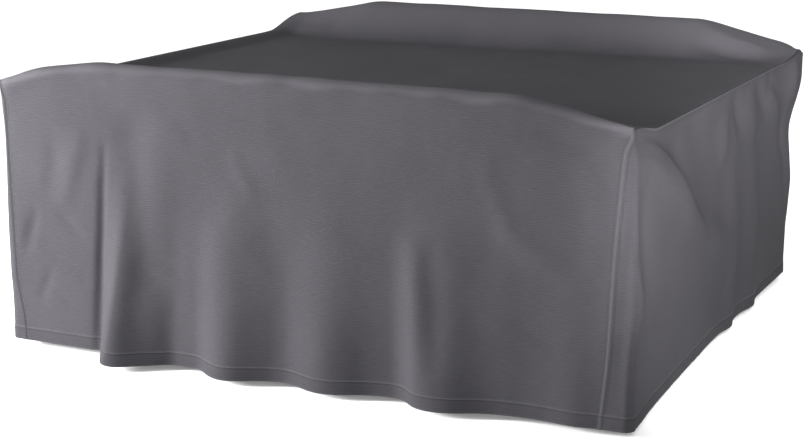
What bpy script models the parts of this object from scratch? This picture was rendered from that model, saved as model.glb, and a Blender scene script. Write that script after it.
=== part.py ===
"""A fitted cover for a garden table with its chairs, as it hangs when it is in use.

It is sewn from three pieces of woven cloth: one length that runs up the front, over the top and
down the back, and a panel that closes each end. The end panels wrap a little way round the
corners, so the corner seams lie on the front and back walls. Chair backs lift the cloth into a
rolled crest along the front and the back, and between the crests it lies on the table top.

The origin is the middle of the table-top area, on the underside of the cloth. X runs along the
front, Y from front to back. Heights in the tables are measured up from the hem, in metres.
"""

import math
from collections import namedtuple

import bmesh
import bpy
import numpy as np

WIDTH = 1.970  # across the two end panels
DEPTH = 1.790  # from the front wall to the back wall, low down
TABLE_HEIGHT = 0.745  # from the hem to the underside of the cloth on the table top
SHEET = 0.0015  # one layer of cloth
HEM_DEPTH = 0.040  # the turned-up band along the bottom, two layers thick
SEAM_GAP = 0.0003  # between two pieces at a seam
CORNER_CLEARANCE = 8.0  # how many times wider the gap gets where a seam turns a right angle

CREST_ROLL = 0.028  # radius over the chair backs
CREST_ROLL_AT_SEAM = 0.009
FRONT_SLOPE_RUN = 0.200  # how far the cloth takes to come down from the crest to the table
BACK_SLOPE_RUN = 0.260
BACK_LEAN = 0.110  # the back wall's top stands out by this much, pushed by the chair backs
BACK_LEAN_FROM = 0.500
BACK_LEAN_TO = 0.680
SHOULDER_REACH = 0.018  # the back corners stand out at the ends too, above the same heights
SHOULDER_RUN = 0.240
WAIST = 0.016  # the end walls are drawn in by this much at the middle of the hem
FRONT_DIP = 0.007  # the front hem hangs lower than the rest, on the right of its steep flute
FRONT_DIP_ACROSS = (-0.620, -0.540)  # X where the dip starts and where it is full
FRONT_DIP_ALONG = (-0.860, -0.700)  # Y where it is still full and where it has run out
FRONT_DIP_RISE = 0.300  # height at which the cloth no longer feels it
SEAM_LIFT_RUN = 0.090  # the stiff end seams lift the top's edge within this distance
FOLD_FADE = 1.3  # how fast a flute dies away up the wall
CORNER_RADIUS = 0.026
CORNER_FLAT = 0.004  # least flat cloth between a corner seam and the corner itself
SEAM_SETTLE_RUN = 0.120  # the main length's folds come down to the seam within this distance
SEAM_EDGE = 0.020  # the top's edge is lifted most this far in from the full width
ROLL_FULL_FROM = 0.030  # the crest's roll widens between these distances from the full width
ROLL_FULL_TO = 0.260
EASE = 0.030  # how softly the tables below turn from one row to the next

Fold = namedtuple("Fold", "hem_at top_at reach before after rises_to")
Crest = namedtuple("Crest", "at height")
Inset = namedtuple("Inset", "height inset")
Ridge = namedtuple("Ridge", "at height reach half_width")

# Flutes: their place at the hem and where they fade, how far they stand out at the hem, the run
# of each flank, and the height at which they fade out.
FOLDS = {
    "front": (
        Fold(hem_at=-0.150, top_at=-0.150, reach=0.012, before=0.440, after=0.800, rises_to=0.60),
        Fold(hem_at=-0.574, top_at=-0.510, reach=0.104, before=0.100, after=0.180, rises_to=0.68),
        Fold(hem_at=-0.200, top_at=-0.180, reach=0.058, before=0.130, after=0.140, rises_to=0.62),
        Fold(hem_at=0.105, top_at=0.110, reach=0.046, before=0.150, after=0.160, rises_to=0.56),
        Fold(hem_at=0.445, top_at=0.420, reach=0.060, before=0.140, after=0.180, rises_to=0.62),
        Fold(hem_at=0.820, top_at=0.810, reach=0.010, before=0.090, after=0.080, rises_to=0.40),
    ),
    "back": (
        Fold(hem_at=-0.520, top_at=-0.480, reach=0.060, before=0.160, after=0.140, rises_to=0.52),
        Fold(hem_at=-0.060, top_at=-0.040, reach=0.045, before=0.150, after=0.170, rises_to=0.48),
        Fold(hem_at=0.500, top_at=0.470, reach=0.070, before=0.140, after=0.160, rises_to=0.52),
    ),
    "right": (
        Fold(hem_at=0.140, top_at=0.110, reach=0.014, before=0.100, after=0.090, rises_to=0.74),
        Fold(hem_at=0.400, top_at=0.330, reach=0.018, before=0.120, after=0.110, rises_to=0.74),
    ),
    "left": (
        Fold(hem_at=-0.300, top_at=-0.260, reach=0.022, before=0.130, after=0.140, rises_to=0.66),
        Fold(hem_at=0.260, top_at=0.300, reach=0.018, before=0.110, after=0.150, rises_to=0.60),
    ),
}

# The crests, level over the chair backs and falling to the corners.
CRESTS = {
    "front": (
        Crest(at=-0.970, height=0.786),
        Crest(at=-0.860, height=0.827),
        Crest(at=-0.650, height=0.854),
        Crest(at=0.000, height=0.853),
        Crest(at=0.640, height=0.846),
        Crest(at=0.960, height=0.786),
    ),
    "back": (
        Crest(at=-0.970, height=0.806),
        Crest(at=-0.740, height=0.848),
        Crest(at=-0.650, height=0.868),
        Crest(at=0.640, height=0.858),
        Crest(at=0.820, height=0.812),
        Crest(at=0.960, height=0.775),
    ),
}

# How far each end wall stands in from the full width at a given height.
END_INSETS = {
    "right": (
        Inset(height=0.000, inset=0.006),
        Inset(height=0.160, inset=0.008),
        Inset(height=0.330, inset=-0.003),
        Inset(height=0.500, inset=0.013),
        Inset(height=0.780, inset=0.023),
    ),
    "left": (
        Inset(height=0.000, inset=0.003),
        Inset(height=0.300, inset=0.001),
        Inset(height=0.620, inset=0.016),
        Inset(height=0.690, inset=0.013),
        Inset(height=0.740, inset=0.004),
        Inset(height=0.790, inset=0.008),
    ),
}

# How far each corner seam stands in from the full width at a given height.
SEAM_INSETS = {
    ("right", "front"): (
        Inset(height=0.000, inset=0.093),
        Inset(height=0.180, inset=0.075),
        Inset(height=0.470, inset=0.064),
        Inset(height=0.700, inset=0.047),
        Inset(height=0.790, inset=0.035),
    ),
    ("left", "front"): (
        Inset(height=0.000, inset=0.060),
        Inset(height=0.070, inset=0.057),
        Inset(height=0.190, inset=0.034),
        Inset(height=0.790, inset=0.024),
    ),
    ("right", "back"): (
        Inset(height=0.000, inset=0.070),
        Inset(height=0.400, inset=0.056),
        Inset(height=0.600, inset=0.038),
        Inset(height=0.790, inset=0.018),
    ),
    ("left", "back"): (
        Inset(height=0.000, inset=0.074),
        Inset(height=0.400, inset=0.050),
        Inset(height=0.600, inset=0.030),
        Inset(height=0.800, inset=0.006),
    ),
}

# The line of a soft drag ridge on the right-hand end, from the front corner down and back.
CORNER_RIDGE = (
    Ridge(at=-0.830, height=0.750, reach=0.004, half_width=0.060),
    Ridge(at=-0.560, height=0.669, reach=0.012, half_width=0.110),
    Ridge(at=-0.390, height=0.539, reach=0.020, half_width=0.150),
    Ridge(at=-0.270, height=0.443, reach=0.020, half_width=0.180),
    Ridge(at=-0.020, height=0.284, reach=0.014, half_width=0.210),
    Ridge(at=0.250, height=0.060, reach=0.000, half_width=0.230),
)

# How much the end seams lift the edge of the top, at the front and at the back.
EDGE_LIFT = {"right": (0.014, -0.001), "left": (0.018, 0.016)}

# Fractions of the way up a wall, and of the way from the front crest to the back crest.
WALL_ROWS = (0.0, HEM_DEPTH / 0.79, 0.068, 0.15, 0.25, 0.36, 0.47, 0.58, 0.69, 0.79, 0.90, 1.0)
HEM_ROWS = 2
TOP_RUN = (0.016, 0.036, 0.060, 0.088, 0.125, 0.25, 0.42, 0.60, 0.76, 0.86, 0.895, 0.925, 0.955, 0.982)
ROLL_STEPS = 3
COLUMNS = 46
PACKING_STEPS = 400
STEEP_PACKING = 2.2  # how many more columns stand at the steep flute's crease than elsewhere
STEEP_PACKING_WIDTH = 0.035
SEAM_PACKING = 1.2
SEAM_PACKING_WIDTH = 0.030

SIDE_SIGN = {"right": 1, "left": -1}
FACE_SIGN = {"front": -1, "back": 1}
CLOTH_GREY = (0.105, 0.100, 0.111, 1.0)
CLOTH_ROUGHNESS = 0.82


def ramp(value, low, high):
    """0 below low, 1 above high, with a soft start and end."""
    part = min(max((value - low) / (high - low), 0.0), 1.0)
    return part * part * (3 - 2 * part)


def blend(start, end, part):
    return start + (end - start) * part


def read(table, column, at):
    """The value in a table's last column at a place in its first, with the turns eased."""
    places = [row[0] for row in table]
    values = [getattr(row, column) for row in table]
    steps = (-EASE, -EASE / 2, 0.0, EASE / 2, EASE)
    return sum(np.interp(at + step, places, values) for step in steps) / len(steps)


def outward(folds, at, height):
    """How far the flutes of a wall stand out of it."""
    total = 0.0
    for fold in folds:
        risen = height / fold.rises_to
        centre = blend(fold.hem_at, fold.top_at, risen)
        flank = fold.before if at < centre else fold.after
        away = abs(at - centre) / flank
        if risen < 1 and away < 1:
            total += fold.reach * (1 - risen) ** FOLD_FADE * 0.5 * (1 + math.cos(math.pi * away))
    return total


def ridge_out(at, height):
    """How far the drag ridge lifts the right-hand end wall."""
    heights = [row.height for row in reversed(CORNER_RIDGE)]

    def along(column):
        return np.interp(height, heights, [getattr(row, column) for row in reversed(CORNER_RIDGE)])

    away = abs(at - along("at")) / along("half_width")
    return along("reach") * 0.5 * (1 + math.cos(math.pi * min(away, 1.0)))


def pushed_out(height):
    """How much of the chair backs' push reaches this height of the back wall."""
    return ramp(height, BACK_LEAN_FROM, BACK_LEAN_TO)


def wall_y(face, x, height):
    """Y of the front or back wall."""
    lean = BACK_LEAN * pushed_out(height) if face == "back" else 0.0
    return FACE_SIGN[face] * (DEPTH / 2 + lean + outward(FOLDS[face], x, height))


def end_x(side, y, height):
    """X of an end wall."""
    low = max(1 - height / TABLE_HEIGHT, 0.0)
    waist = WAIST * low * max(1 - (2 * y / DEPTH) ** 2, 0.0)
    shoulder = SHOULDER_REACH * pushed_out(height) * ramp(y, DEPTH / 2 - SHOULDER_RUN, DEPTH / 2)
    out = outward(FOLDS[side], y, height) + shoulder
    if side == "right":
        out += ridge_out(y, height)
    return SIDE_SIGN[side] * (WIDTH / 2 - read(END_INSETS[side], "inset", height) - waist + out)


def seam_x(side, face, height):
    return SIDE_SIGN[side] * (WIDTH / 2 - read(SEAM_INSETS[side, face], "inset", height))


def roll_radius(x):
    from_seam = WIDTH / 2 - abs(x)
    return blend(CREST_ROLL_AT_SEAM, CREST_ROLL, ramp(from_seam, ROLL_FULL_FROM, ROLL_FULL_TO))


def crest_height(face, x):
    return read(CRESTS[face], "height", x)


def crest_y(face, x):
    """Y of the line along the top of a crest."""
    height = crest_height(face, x)
    return wall_y(face, x, height) - FACE_SIGN[face] * roll_radius(x)


def top_height(x, y):
    """Height of the cloth between the crests: it comes down to the table and lies on it."""
    front = crest_y("front", x)
    back = crest_y("back", x)
    side = "right" if x > 0 else "left"
    lift = blend(*EDGE_LIFT[side], (y - front) / (back - front))
    flat = TABLE_HEIGHT + SHEET + lift * ramp(abs(x), WIDTH / 2 - SEAM_LIFT_RUN, WIDTH / 2 - SEAM_EDGE)
    down_front = 1 - ramp(y - front, 0.0, FRONT_SLOPE_RUN)
    down_back = 1 - ramp(back - y, 0.0, BACK_SLOPE_RUN)
    return (
        flat
        + (crest_height("front", x) - flat) * down_front
        + (crest_height("back", x) - flat) * down_back
    )


def corner_points(side, face, part):
    """An end panel's points round one corner, from its seam to the end wall, part of the way up."""
    inset_at_top = SEAM_INSETS[side, face][-1].inset
    height = part * crest_height(face, SIDE_SIGN[side] * (WIDTH / 2 - inset_at_top))
    seam = seam_x(side, face, height)
    wall = wall_y(face, seam, height)
    end = end_x(side, wall, height)
    radius = min(CORNER_RADIUS, abs(end) - abs(seam) - CORNER_FLAT)
    centre_x = end - SIDE_SIGN[side] * radius
    centre_y = wall - FACE_SIGN[face] * radius
    points = [(seam, wall, height)]
    for turn in (0.0, 45.0, 90.0):
        angle = math.radians(turn)
        x = centre_x + SIDE_SIGN[side] * radius * math.sin(angle)
        y = centre_y + FACE_SIGN[face] * radius * math.cos(angle)
        points.append((x, y, height))
    return points


def end_row(side, part):
    """A row of an end panel, from the front seam round the end wall to the back seam."""
    front = corner_points(side, "front", part)
    back = corner_points(side, "back", part)
    front_top = corner_points(side, "front", 1.0)[-1]
    back_top = corner_points(side, "back", 1.0)[-1]
    run = []
    for share in TOP_RUN:
        top_x = blend(front_top[0], back_top[0], share)
        height = part * top_height(top_x, blend(front_top[1], back_top[1], share))
        y = blend(front[-1][1], back[-1][1], share)
        run.append((end_x(side, y, height), y, height))
    return np.array(front + run + back[::-1])


def column_shares(part):
    """Where the main length's columns stand, packed closer at the steep flute near its hem."""
    places = np.linspace(0.0, 1.0, PACKING_STEPS)
    steep = max(FOLDS["front"], key=lambda fold: fold.reach)
    crease = (steep.hem_at - steep.before * 0.5 + WIDTH / 2) / WIDTH
    at_crease = np.exp(-(((places - crease) / STEEP_PACKING_WIDTH) ** 2))
    at_seams = np.exp(-places / SEAM_PACKING_WIDTH) + np.exp(-(1 - places) / SEAM_PACKING_WIDTH)
    filled = np.cumsum(1 + STEEP_PACKING * part * at_crease + SEAM_PACKING * at_seams)
    filled = (filled - filled[0]) / (filled[-1] - filled[0])
    return np.interp(np.linspace(0.0, 1.0, COLUMNS), filled, places)


def wall_row_point(face, x, part):
    height = part * (crest_height(face, x) - roll_radius(x))
    return np.array((x, wall_y(face, x, height), height))


def roll_point(face, x, step):
    angle = math.radians(90.0 * step / ROLL_STEPS)
    radius = roll_radius(x)
    start = wall_y(face, x, crest_height(face, x))
    y = start - FACE_SIGN[face] * radius * (1 - math.cos(angle))
    return np.array((x, y, crest_height(face, x) - radius * (1 - math.sin(angle))))


def top_point(x, share):
    y = blend(crest_y("front", x), crest_y("back", x), share)
    return np.array((x, y, top_height(x, y)))


def main_row(point_at, left, right, close=0.0):
    """A row across the main length: its own form in the middle, meeting the end panels' rows."""
    row = []
    for share in column_shares(close):
        x = blend(left[0], right[0], share)
        point = point_at(x)
        for end in (left, right):
            near = max(1 - abs(x - end[0]) / SEAM_SETTLE_RUN, 0.0) ** 2
            point = point + (end - point_at(end[0])) * near
        row.append(point)
    return row


def main_rows(left_rows, right_rows):
    """The main length's points, from the front hem over the top to the back hem."""
    steps = range(1, ROLL_STEPS + 1)
    rows = []
    for part, left, right in zip(WALL_ROWS, left_rows, right_rows):
        rows.append(main_row(lambda x: wall_row_point("front", x, part), left[0], right[0], 1 - part))
    left_top = left_rows[-1]
    right_top = right_rows[-1]
    for step in steps:
        rows.append(main_row(lambda x: roll_point("front", x, step), left_top[step], right_top[step]))
    for column, share in enumerate(TOP_RUN, start=ROLL_STEPS + 1):
        rows.append(main_row(lambda x: top_point(x, share), left_top[column], right_top[column]))
    for step in reversed(steps):
        place = -1 - step
        rows.append(main_row(lambda x: roll_point("back", x, step), left_top[place], right_top[place]))
    for part, left, right in zip(WALL_ROWS[::-1], left_rows[::-1], right_rows[::-1]):
        rows.append(main_row(lambda x: wall_row_point("back", x, part), left[-1], right[-1]))
    return np.array(rows)


def lower_front_hem(rows):
    """Lets the hem dip along the front and round its right-hand corner."""
    for point in rows.reshape(-1, 3):
        x, y, height = point
        across = ramp(x, *FRONT_DIP_ACROSS)
        along = 1 - ramp(y, *FRONT_DIP_ALONG)
        point[2] -= FRONT_DIP * across * along * (1 - ramp(height, 0.0, FRONT_DIP_RISE))


def unit_across(vector, along):
    """The direction of a vector, less its share along a seam."""
    along = along / np.linalg.norm(along)
    across = vector - along * np.dot(vector, along)
    return across / np.linalg.norm(across)


def cut_back(edge, own, other, layers):
    """The edge of a piece, moved back from the seam so that the two sheets stay clear inside."""
    trimmed = edge.copy()
    steps = np.diff(edge, axis=0)
    steps /= np.linalg.norm(steps, axis=1)[:, None]
    before = np.concatenate((steps[:1], steps))
    after = np.concatenate((steps, steps[-1:]))
    for place in range(len(edge)):
        tangent = before[place] + after[place]
        turn = 1 - np.dot(before[place], after[place])
        mine = unit_across(own[place] - edge[place], tangent)
        theirs = unit_across(other[place] - edge[place], tangent)
        half = 0.5 * math.acos(np.clip(np.dot(mine, theirs), -1.0, 1.0))
        back = 0.5 * SEAM_GAP / math.sin(half) + SHEET * layers[place] / math.tan(half)
        trimmed[place] += mine * back * (1 + CORNER_CLEARANCE * turn)
    return trimmed


def seam_path(rows):
    """The rim of an end panel that is sewn: up its front edge, along the top and down the back."""
    return np.concatenate((rows[:, 0], rows[-1, 1:-1], rows[::-1, -1]))


def trim_seam(rows, main, main_column, main_next):
    """Opens the gap along the seam between an end panel and the main length."""
    path = seam_path(rows)
    wall = len(rows)
    own = seam_path(np.pad(rows[:-1, 1:-1], ((0, 1), (1, 1), (0, 0)), mode="edge"))
    layers = np.ones(len(path))
    layers[:HEM_ROWS] = 2
    layers[-HEM_ROWS:] = 2
    end_edge = cut_back(path, own, main[:, main_next], layers)
    main[:, main_column] = cut_back(path, main[:, main_next], own, layers)
    rows[:, 0] = end_edge[:wall]
    rows[-1, 1:-1] = end_edge[wall:-wall]
    rows[:, -1] = end_edge[-wall:][::-1]


def cloth_material(name):
    material = bpy.data.materials.new(name)
    material.use_nodes = True
    shader = material.node_tree.nodes["Principled BSDF"]
    shader.inputs["Base Color"].default_value = CLOTH_GREY
    shader.inputs["Roughness"].default_value = CLOTH_ROUGHNESS
    shader.inputs["Metallic"].default_value = 0.0
    return material


def sew(name, rows, hem_rows, collection):
    """One piece of cloth: a grid laid on its rows of points, with its thickness inward."""
    size_rows, size_columns = rows.shape[:2]
    mesh = bpy.data.meshes.new(name)
    grid = bmesh.new()
    bmesh.ops.create_grid(grid, x_segments=size_columns - 1, y_segments=size_rows - 1, size=1.0)
    doubled = []
    for index, vertex in enumerate(grid.verts):
        column = round((vertex.co.x + 1) / 2 * (size_columns - 1))
        row = round((vertex.co.y + 1) / 2 * (size_rows - 1))
        x, y, height = rows[row, column]
        vertex.co = (x, y, height - TABLE_HEIGHT)
        if row in hem_rows:
            doubled.append(index)
    grid.to_mesh(mesh)
    grid.free()
    mesh.shade_smooth()
    piece = bpy.data.objects.new(name, mesh)
    piece.data.materials.append(cloth_material(name))
    collection.objects.link(piece)
    piece.vertex_groups.new(name="hem").add(doubled, 1.0, "REPLACE")
    solid = piece.modifiers.new("cloth", "SOLIDIFY")
    solid.thickness = 2 * SHEET
    solid.vertex_group = "hem"
    solid.thickness_vertex_group = 0.5
    solid.offset = -1.0
    solid.use_even_offset = True
    solid.use_quality_normals = True
    return piece


def build():
    for old in list(bpy.data.objects):
        bpy.data.objects.remove(old)
    cover = bpy.data.collections.new("furniture_cover")
    bpy.context.scene.collection.children.link(cover)

    right = np.array([end_row("right", part) for part in WALL_ROWS])
    left = np.array([end_row("left", part) for part in WALL_ROWS])
    main = main_rows(left, right)
    for rows in (left, right, main):
        lower_front_hem(rows)
    trim_seam(right, main, -1, -2)
    trim_seam(left, main, 0, 1)

    hem = set(range(HEM_ROWS))
    last = len(main) - 1
    sew("main_length", main, hem | {last - row for row in hem}, cover)
    sew("end_right", right, hem, cover)
    sew("end_left", left[:, ::-1], hem, cover)


build()
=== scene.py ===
"""A fitted patio furniture cover, sewn from three pieces of woven cloth.

Each piece is laid again here on its solid's form, finer, with its drag lines, seams, turned-up hem,
stitching and weave. Sizes are in metres, and heights are measured up from the hem.
"""

import math
from collections import namedtuple

import bmesh
import bpy
import numpy as np
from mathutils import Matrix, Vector, noise


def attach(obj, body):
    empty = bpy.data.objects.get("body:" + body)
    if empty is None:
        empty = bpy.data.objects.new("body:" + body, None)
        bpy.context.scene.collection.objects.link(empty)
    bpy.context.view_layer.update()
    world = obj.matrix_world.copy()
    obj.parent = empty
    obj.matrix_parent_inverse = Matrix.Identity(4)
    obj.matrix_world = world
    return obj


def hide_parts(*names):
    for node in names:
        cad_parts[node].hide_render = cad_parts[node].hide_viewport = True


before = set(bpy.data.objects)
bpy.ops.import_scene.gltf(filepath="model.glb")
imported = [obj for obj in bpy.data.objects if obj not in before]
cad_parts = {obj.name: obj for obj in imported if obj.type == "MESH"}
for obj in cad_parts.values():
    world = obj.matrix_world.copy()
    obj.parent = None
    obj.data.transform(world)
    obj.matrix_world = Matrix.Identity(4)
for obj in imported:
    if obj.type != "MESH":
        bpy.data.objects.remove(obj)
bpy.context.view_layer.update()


# The view: a long lens to the right of the front, a little above the cover's top, so that the
# front, the top and the right-hand end all show.

CAMERA_PLACE = (2.1587, -4.8418, 0.7610)
CAMERA_PITCH = 76.95
CAMERA_HEADING = 24.88
CAMERA_LENS = 75.13
CAMERA_SENSOR = 36.0

camera = bpy.data.objects.new("camera", bpy.data.cameras.new("camera"))
bpy.context.scene.collection.objects.link(camera)
camera.location = CAMERA_PLACE
camera.rotation_euler = (math.radians(CAMERA_PITCH), 0.0, math.radians(CAMERA_HEADING))
camera.data.sensor_width = CAMERA_SENSOR
camera.data.lens = CAMERA_LENS
bpy.context.scene.camera = camera


# The woven cloth: anthracite polyester, coated on the inside, with fine ribs across its width.
# All three pieces are cut from it. Its place on the roll is kept in each piece's "cloth" values,
# so that the ribs run level round the cover and over its top.

CLOTH_COLOUR = (0.0282, 0.0270, 0.0305, 1.0)
CLOTH_PALE_COLOUR = (0.0451, 0.0431, 0.0483, 1.0)
# The paler colour of the painted highlight on the crests, the seam ridges and the hem's edges.
CLOTH_HIGHLIGHT_COLOUR = (0.0564, 0.0541, 0.0602, 1.0)
CLOTH_SHADED_COLOUR = (0.0100, 0.0095, 0.0105, 1.0)
CLOTH_ROUGHNESS = 0.80
CLOTH_SPECULAR = 0.04
RIB_PITCH = 0.0052
RIB_WAVER = 2.2
RIB_WAVER_DETAIL = 1.0
RIB_WAVER_FINENESS = 1.4
RIB_DEPTH = 0.0010
RIB_STRENGTH = 0.5
THREAD_PITCH = 0.0016
THREAD_DEPTH = 0.0004
THREAD_STRENGTH = 0.4
SLUB_LENGTH = 0.030
SLUB_PITCH = 0.0040
SLUB_DETAIL = 2.0
SLUB_SHARE = 0.5
FADED_PER_METRE = 3.0
FADED_DETAIL = 4.0
FADED_SHARE = 0.4
PALE_FROM = 0.22
PALE_TO = 0.78
CRUMPLE_SIZE = 0.11
CRUMPLE_DETAIL = 3.0
CRUMPLE_DEPTH = 0.004
CRUMPLE_STRENGTH = 0.30
BANDS_IN_TURN = 20


def link(tree, start, end):
    tree.links.new(start, end)


def scaled_noise(tree, place, scale, detail):
    """Noise over the cloth, with its own scale across and along the roll."""
    spread = tree.nodes.new("ShaderNodeMapping")
    spread.inputs["Scale"].default_value = scale
    link(tree, place, spread.inputs["Vector"])
    texture = tree.nodes.new("ShaderNodeTexNoise")
    texture.inputs["Scale"].default_value = 1.0
    texture.inputs["Detail"].default_value = detail
    link(tree, spread.outputs["Vector"], texture.inputs["Vector"])
    return texture.outputs["Fac"]


def band_scale(pitch):
    """The scale at which a band texture has one band to each pitch."""
    return 2 * math.pi / pitch / BANDS_IN_TURN


def threads(tree, place, direction, pitch, waver=0.0):
    """One set of the weave's threads, a wave for each."""
    wave = tree.nodes.new("ShaderNodeTexWave")
    wave.wave_type = "BANDS"
    wave.bands_direction = direction
    wave.inputs["Scale"].default_value = band_scale(pitch)
    wave.inputs["Distortion"].default_value = waver
    wave.inputs["Detail"].default_value = RIB_WAVER_DETAIL
    wave.inputs["Detail Scale"].default_value = RIB_WAVER_FINENESS
    link(tree, place, wave.inputs["Vector"])
    return wave.outputs["Fac"]


def mixed(tree, first, second, share):
    """Two values, the second with its share."""
    node = tree.nodes.new("ShaderNodeMix")
    node.data_type = "FLOAT"
    node.inputs["Factor"].default_value = share
    link(tree, first, node.inputs["A"])
    link(tree, second, node.inputs["B"])
    return node.outputs["Result"]


def tinted(tree, below, colour, amount):
    """A colour laid over the one below it, as far as an amount says."""
    node = tree.nodes.new("ShaderNodeMix")
    node.data_type = "RGBA"
    link(tree, amount, node.inputs["Factor"])
    link(tree, below, node.inputs["A"])
    node.inputs["B"].default_value = colour
    return node.outputs["Result"]


def stored(tree, name):
    """A value that each piece of cloth keeps at its points."""
    node = tree.nodes.new("ShaderNodeAttribute")
    node.attribute_name = name
    return node


def bump(tree, height, depth, strength, below=None):
    """Fine relief in the shading, over any relief below it."""
    node = tree.nodes.new("ShaderNodeBump")
    node.inputs["Distance"].default_value = depth
    node.inputs["Strength"].default_value = strength
    link(tree, height, node.inputs["Height"])
    if below is not None:
        link(tree, below, node.inputs["Normal"])
    return node.outputs["Normal"]


def woven_cloth():
    material = bpy.data.materials.new("woven_cloth")
    material.use_nodes = True
    tree = material.node_tree
    shader = tree.nodes["Principled BSDF"]
    shader.inputs["Roughness"].default_value = CLOTH_ROUGHNESS
    shader.inputs["Specular IOR Level"].default_value = CLOTH_SPECULAR

    on_roll = stored(tree, "cloth").outputs["Vector"]
    ribs = threads(tree, on_roll, "Y", RIB_PITCH, RIB_WAVER)
    slubs = scaled_noise(tree, on_roll, (1 / SLUB_LENGTH, 1 / SLUB_PITCH, 1.0), SLUB_DETAIL)
    faded = scaled_noise(tree, on_roll, (FADED_PER_METRE,) * 3, FADED_DETAIL)
    crumpled = scaled_noise(tree, on_roll, (1 / CRUMPLE_SIZE,) * 3, CRUMPLE_DETAIL)

    grain = mixed(tree, ribs, slubs, SLUB_SHARE)
    tone = tree.nodes.new("ShaderNodeMapRange")
    tone.inputs["From Min"].default_value = PALE_FROM
    tone.inputs["From Max"].default_value = PALE_TO
    link(tree, mixed(tree, grain, faded, FADED_SHARE), tone.inputs["Value"])
    base = tree.nodes.new("ShaderNodeRGB")
    base.outputs["Color"].default_value = CLOTH_COLOUR
    colour = tinted(tree, base.outputs["Color"], CLOTH_PALE_COLOUR, tone.outputs["Result"])
    # Painted highlight: paler on the crests, on the raised seams' ridges and on the hem's edges,
    # where light catches them.
    colour = tinted(tree, colour, CLOTH_HIGHLIGHT_COLOUR, stored(tree, "painted_highlight").outputs["Fac"])
    # Painted shade: darker in the doubled hem, in the stitch dents and along the seams.
    colour = tinted(tree, colour, CLOTH_SHADED_COLOUR, stored(tree, "shaded").outputs["Fac"])
    link(tree, colour, shader.inputs["Base Color"])

    weave = tree.nodes.new("ShaderNodeMath")
    weave.operation = "MULTIPLY"
    link(tree, threads(tree, on_roll, "X", THREAD_PITCH), weave.inputs[0])
    link(tree, threads(tree, on_roll, "Y", THREAD_PITCH), weave.inputs[1])

    surface = bump(tree, crumpled, CRUMPLE_DEPTH, CRUMPLE_STRENGTH)
    surface = bump(tree, grain, RIB_DEPTH, RIB_STRENGTH, surface)
    surface = bump(tree, weave.outputs["Value"], THREAD_DEPTH, THREAD_STRENGTH, surface)
    link(tree, surface, shader.inputs["Normal"])
    return material


cloth = woven_cloth()


# How the cover hangs: the cloth is lifted into a rolled crest along the front and the back, lies
# flat between the crests, and falls in flutes below them. Each end panel wraps a little way round
# its corners, so the corner seams lie on the front and back walls.

WIDTH = 1.970
DEPTH = 1.790
FLAT_HEIGHT = 0.745
SHEET = 0.0015
HEM_DEPTH = 0.040
HEM_LAYERS = 2
CREST_ROLL = 0.028
CREST_ROLL_AT_SEAM = 0.009
ROLL_FULL_FROM = 0.030
ROLL_FULL_TO = 0.260
FRONT_SLOPE_RUN = 0.200
BACK_SLOPE_RUN = 0.260
BACK_LEAN = 0.110
BACK_LEAN_FROM = 0.500
BACK_LEAN_TO = 0.680
SHOULDER_REACH = 0.018
SHOULDER_RUN = 0.240
WAIST = 0.016
APEX_SLUMP = 0.022
APEX_SLUMP_REACH = 0.034
HEM_DIP = 0.007
HEM_DIP_ACROSS = (-0.620, -0.540)
HEM_DIP_ALONG = (-0.860, -0.700)
HEM_DIP_RISE = 0.300
SEAM_LIFT_RUN = 0.090
SEAM_EDGE = 0.020
SEAM_SETTLE_RUN = 0.120
FOLD_FADE = 1.3
CORNER_RADIUS = 0.026
CORNER_SHARE = 0.7
APEX_RUN = 0.070
APEX_WIDTH = 0.0016
EASE = 0.030

Fold = namedtuple("Fold", "hem_at top_at reach before after rises_to")
Crest = namedtuple("Crest", "at height")
Inset = namedtuple("Inset", "height inset")
Ridge = namedtuple("Ridge", "height at reach half_width")

FOLDS = {
    "front": (
        Fold(hem_at=-0.150, top_at=-0.150, reach=0.012, before=0.440, after=0.800, rises_to=0.60),
        Fold(hem_at=-0.574, top_at=-0.510, reach=0.104, before=0.100, after=0.180, rises_to=0.68),
        Fold(hem_at=-0.200, top_at=-0.180, reach=0.058, before=0.130, after=0.140, rises_to=0.62),
        Fold(hem_at=0.105, top_at=0.110, reach=0.046, before=0.150, after=0.160, rises_to=0.56),
        Fold(hem_at=0.445, top_at=0.420, reach=0.060, before=0.140, after=0.180, rises_to=0.62),
        Fold(hem_at=0.820, top_at=0.810, reach=0.010, before=0.090, after=0.080, rises_to=0.40),
    ),
    "back": (
        Fold(hem_at=-0.520, top_at=-0.480, reach=0.060, before=0.160, after=0.140, rises_to=0.52),
        Fold(hem_at=-0.060, top_at=-0.040, reach=0.045, before=0.150, after=0.170, rises_to=0.48),
        Fold(hem_at=0.500, top_at=0.470, reach=0.070, before=0.140, after=0.160, rises_to=0.52),
    ),
    "right": (
        Fold(hem_at=0.140, top_at=0.110, reach=0.014, before=0.100, after=0.090, rises_to=0.74),
        Fold(hem_at=0.400, top_at=0.330, reach=0.018, before=0.120, after=0.110, rises_to=0.74),
    ),
    "left": (
        Fold(hem_at=-0.300, top_at=-0.260, reach=0.022, before=0.130, after=0.140, rises_to=0.66),
        Fold(hem_at=0.260, top_at=0.300, reach=0.018, before=0.110, after=0.150, rises_to=0.60),
    ),
}

# Height of each crest along the front or the back.
CRESTS = {
    "front": (
        Crest(at=-0.970, height=0.786),
        Crest(at=-0.860, height=0.827),
        Crest(at=-0.650, height=0.854),
        Crest(at=0.000, height=0.853),
        Crest(at=0.640, height=0.846),
        Crest(at=0.960, height=0.786),
    ),
    "back": (
        Crest(at=-0.970, height=0.806),
        Crest(at=-0.740, height=0.848),
        Crest(at=-0.650, height=0.868),
        Crest(at=0.640, height=0.858),
        Crest(at=0.820, height=0.812),
        Crest(at=0.960, height=0.775),
    ),
}

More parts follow.
